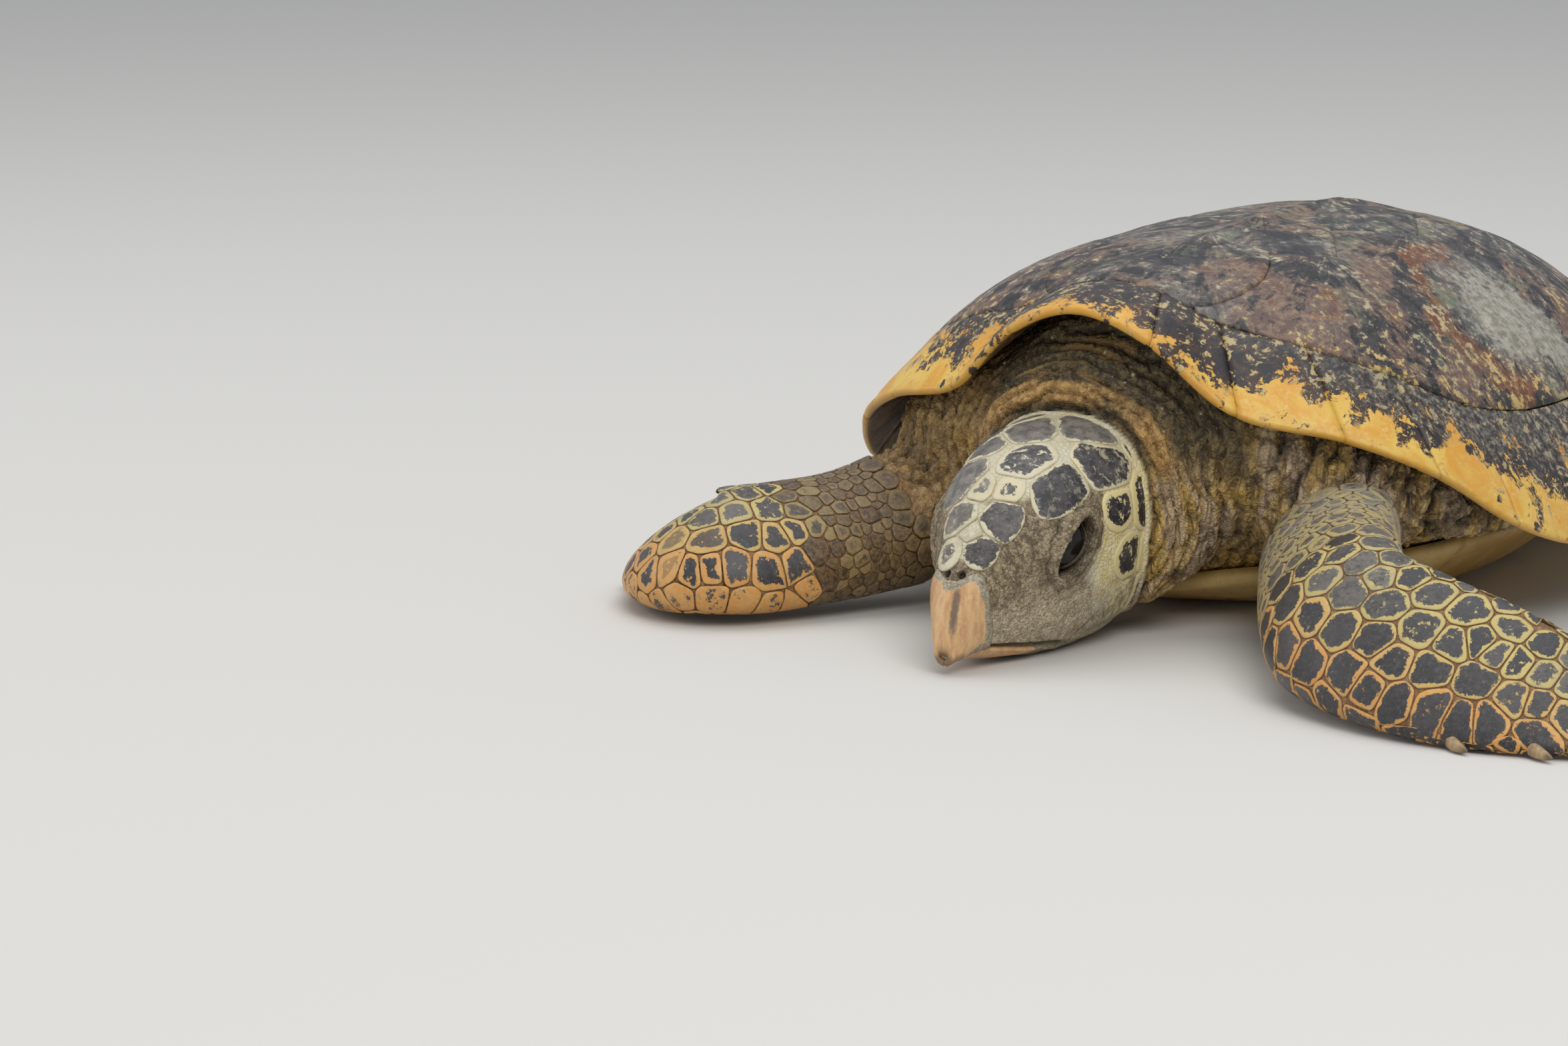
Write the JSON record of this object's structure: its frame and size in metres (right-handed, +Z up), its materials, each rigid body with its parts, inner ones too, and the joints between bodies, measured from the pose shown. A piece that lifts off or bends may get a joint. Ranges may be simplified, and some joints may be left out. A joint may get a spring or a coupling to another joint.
{
  "type": "hawksbill sea turtle",
  "caption": "Still life-size hawksbill sea turtle lying on its plastron, head lowered, with a domed scute shell, hooked beak and spread flippers.",
  "frame": {"origin": "on the floor, on the flat underside of the plastron, on the body's mid-plane", "axes": "+Z up; the turtle faces -Y; its left side is at +X"},
  "size_m": [0.9187, 0.9926, 0.2838],
  "materials": {
    "carapace_scute": "worn tortoiseshell, charcoal blotches and reddish brown under a grey weathered film",
    "marginal_scute": "amber yellow horn with dark blotches",
    "plastron_scute": "cream yellow horn with brown smudges",
    "skin": "wrinkled olive and yellow skin with dark scales edged in yellow and orange",
    "beak_horn": "peach tan horn with dark streaks",
    "claw_horn": "amber brown horn",
    "eye": "wet black"
  },
  "bodies": {
    "root": {"beak_lower": "beak_horn", "beak_upper": "beak_horn", "claw_front_flipper_left_1": "claw_horn", "claw_front_flipper_left_2": "claw_horn", "claw_front_flipper_right_1": "claw_horn", "claw_front_flipper_right_2": "claw_horn", "claw_hind_flipper_left_1": "claw_horn", "claw_hind_flipper_left_2": "claw_horn", "claw_hind_flipper_right_1": "claw_horn", "claw_hind_flipper_right_2": "claw_horn", "costal_left_1": "carapace_scute", "costal_left_2": "carapace_scute", "costal_left_3": "carapace_scute", "costal_left_4": "carapace_scute", "costal_right_1": "carapace_scute", "costal_right_2": "carapace_scute", "costal_right_3": "carapace_scute", "costal_right_4": "carapace_scute", "eye_left": "eye", "eye_right": "eye", "front_flipper_left": "skin", "front_flipper_right": "skin", "head": "skin", "hind_flipper_left": "skin", "hind_flipper_right": "skin", "marginal_left_1": "marginal_scute", "marginal_left_10": "marginal_scute", "marginal_left_11": "marginal_scute", "marginal_left_12": "marginal_scute", "marginal_left_2": "marginal_scute", "marginal_left_3": "marginal_scute", "marginal_left_4": "marginal_scute", "marginal_left_5": "marginal_scute", "marginal_left_6": "marginal_scute", "marginal_left_7": "marginal_scute", "marginal_left_8": "marginal_scute", "marginal_left_9": "marginal_scute", "marginal_right_1": "marginal_scute", "marginal_right_10": "marginal_scute", "marginal_right_11": "marginal_scute", "marginal_right_12": "marginal_scute", "marginal_right_2": "marginal_scute", "marginal_right_3": "marginal_scute", "marginal_right_4": "marginal_scute", "marginal_right_5": "marginal_scute", "marginal_right_6": "marginal_scute", "marginal_right_7": "marginal_scute", "marginal_right_8": "marginal_scute", "marginal_right_9": "marginal_scute", "neck": "skin", "nuchal": "marginal_scute", "plastron": "plastron_scute", "tail": "skin", "trunk": "skin", "vertebral_1": "carapace_scute", "vertebral_2": "carapace_scute", "vertebral_3": "carapace_scute", "vertebral_4": "carapace_scute", "vertebral_5": "carapace_scute"}
  },
  "joints": []
}
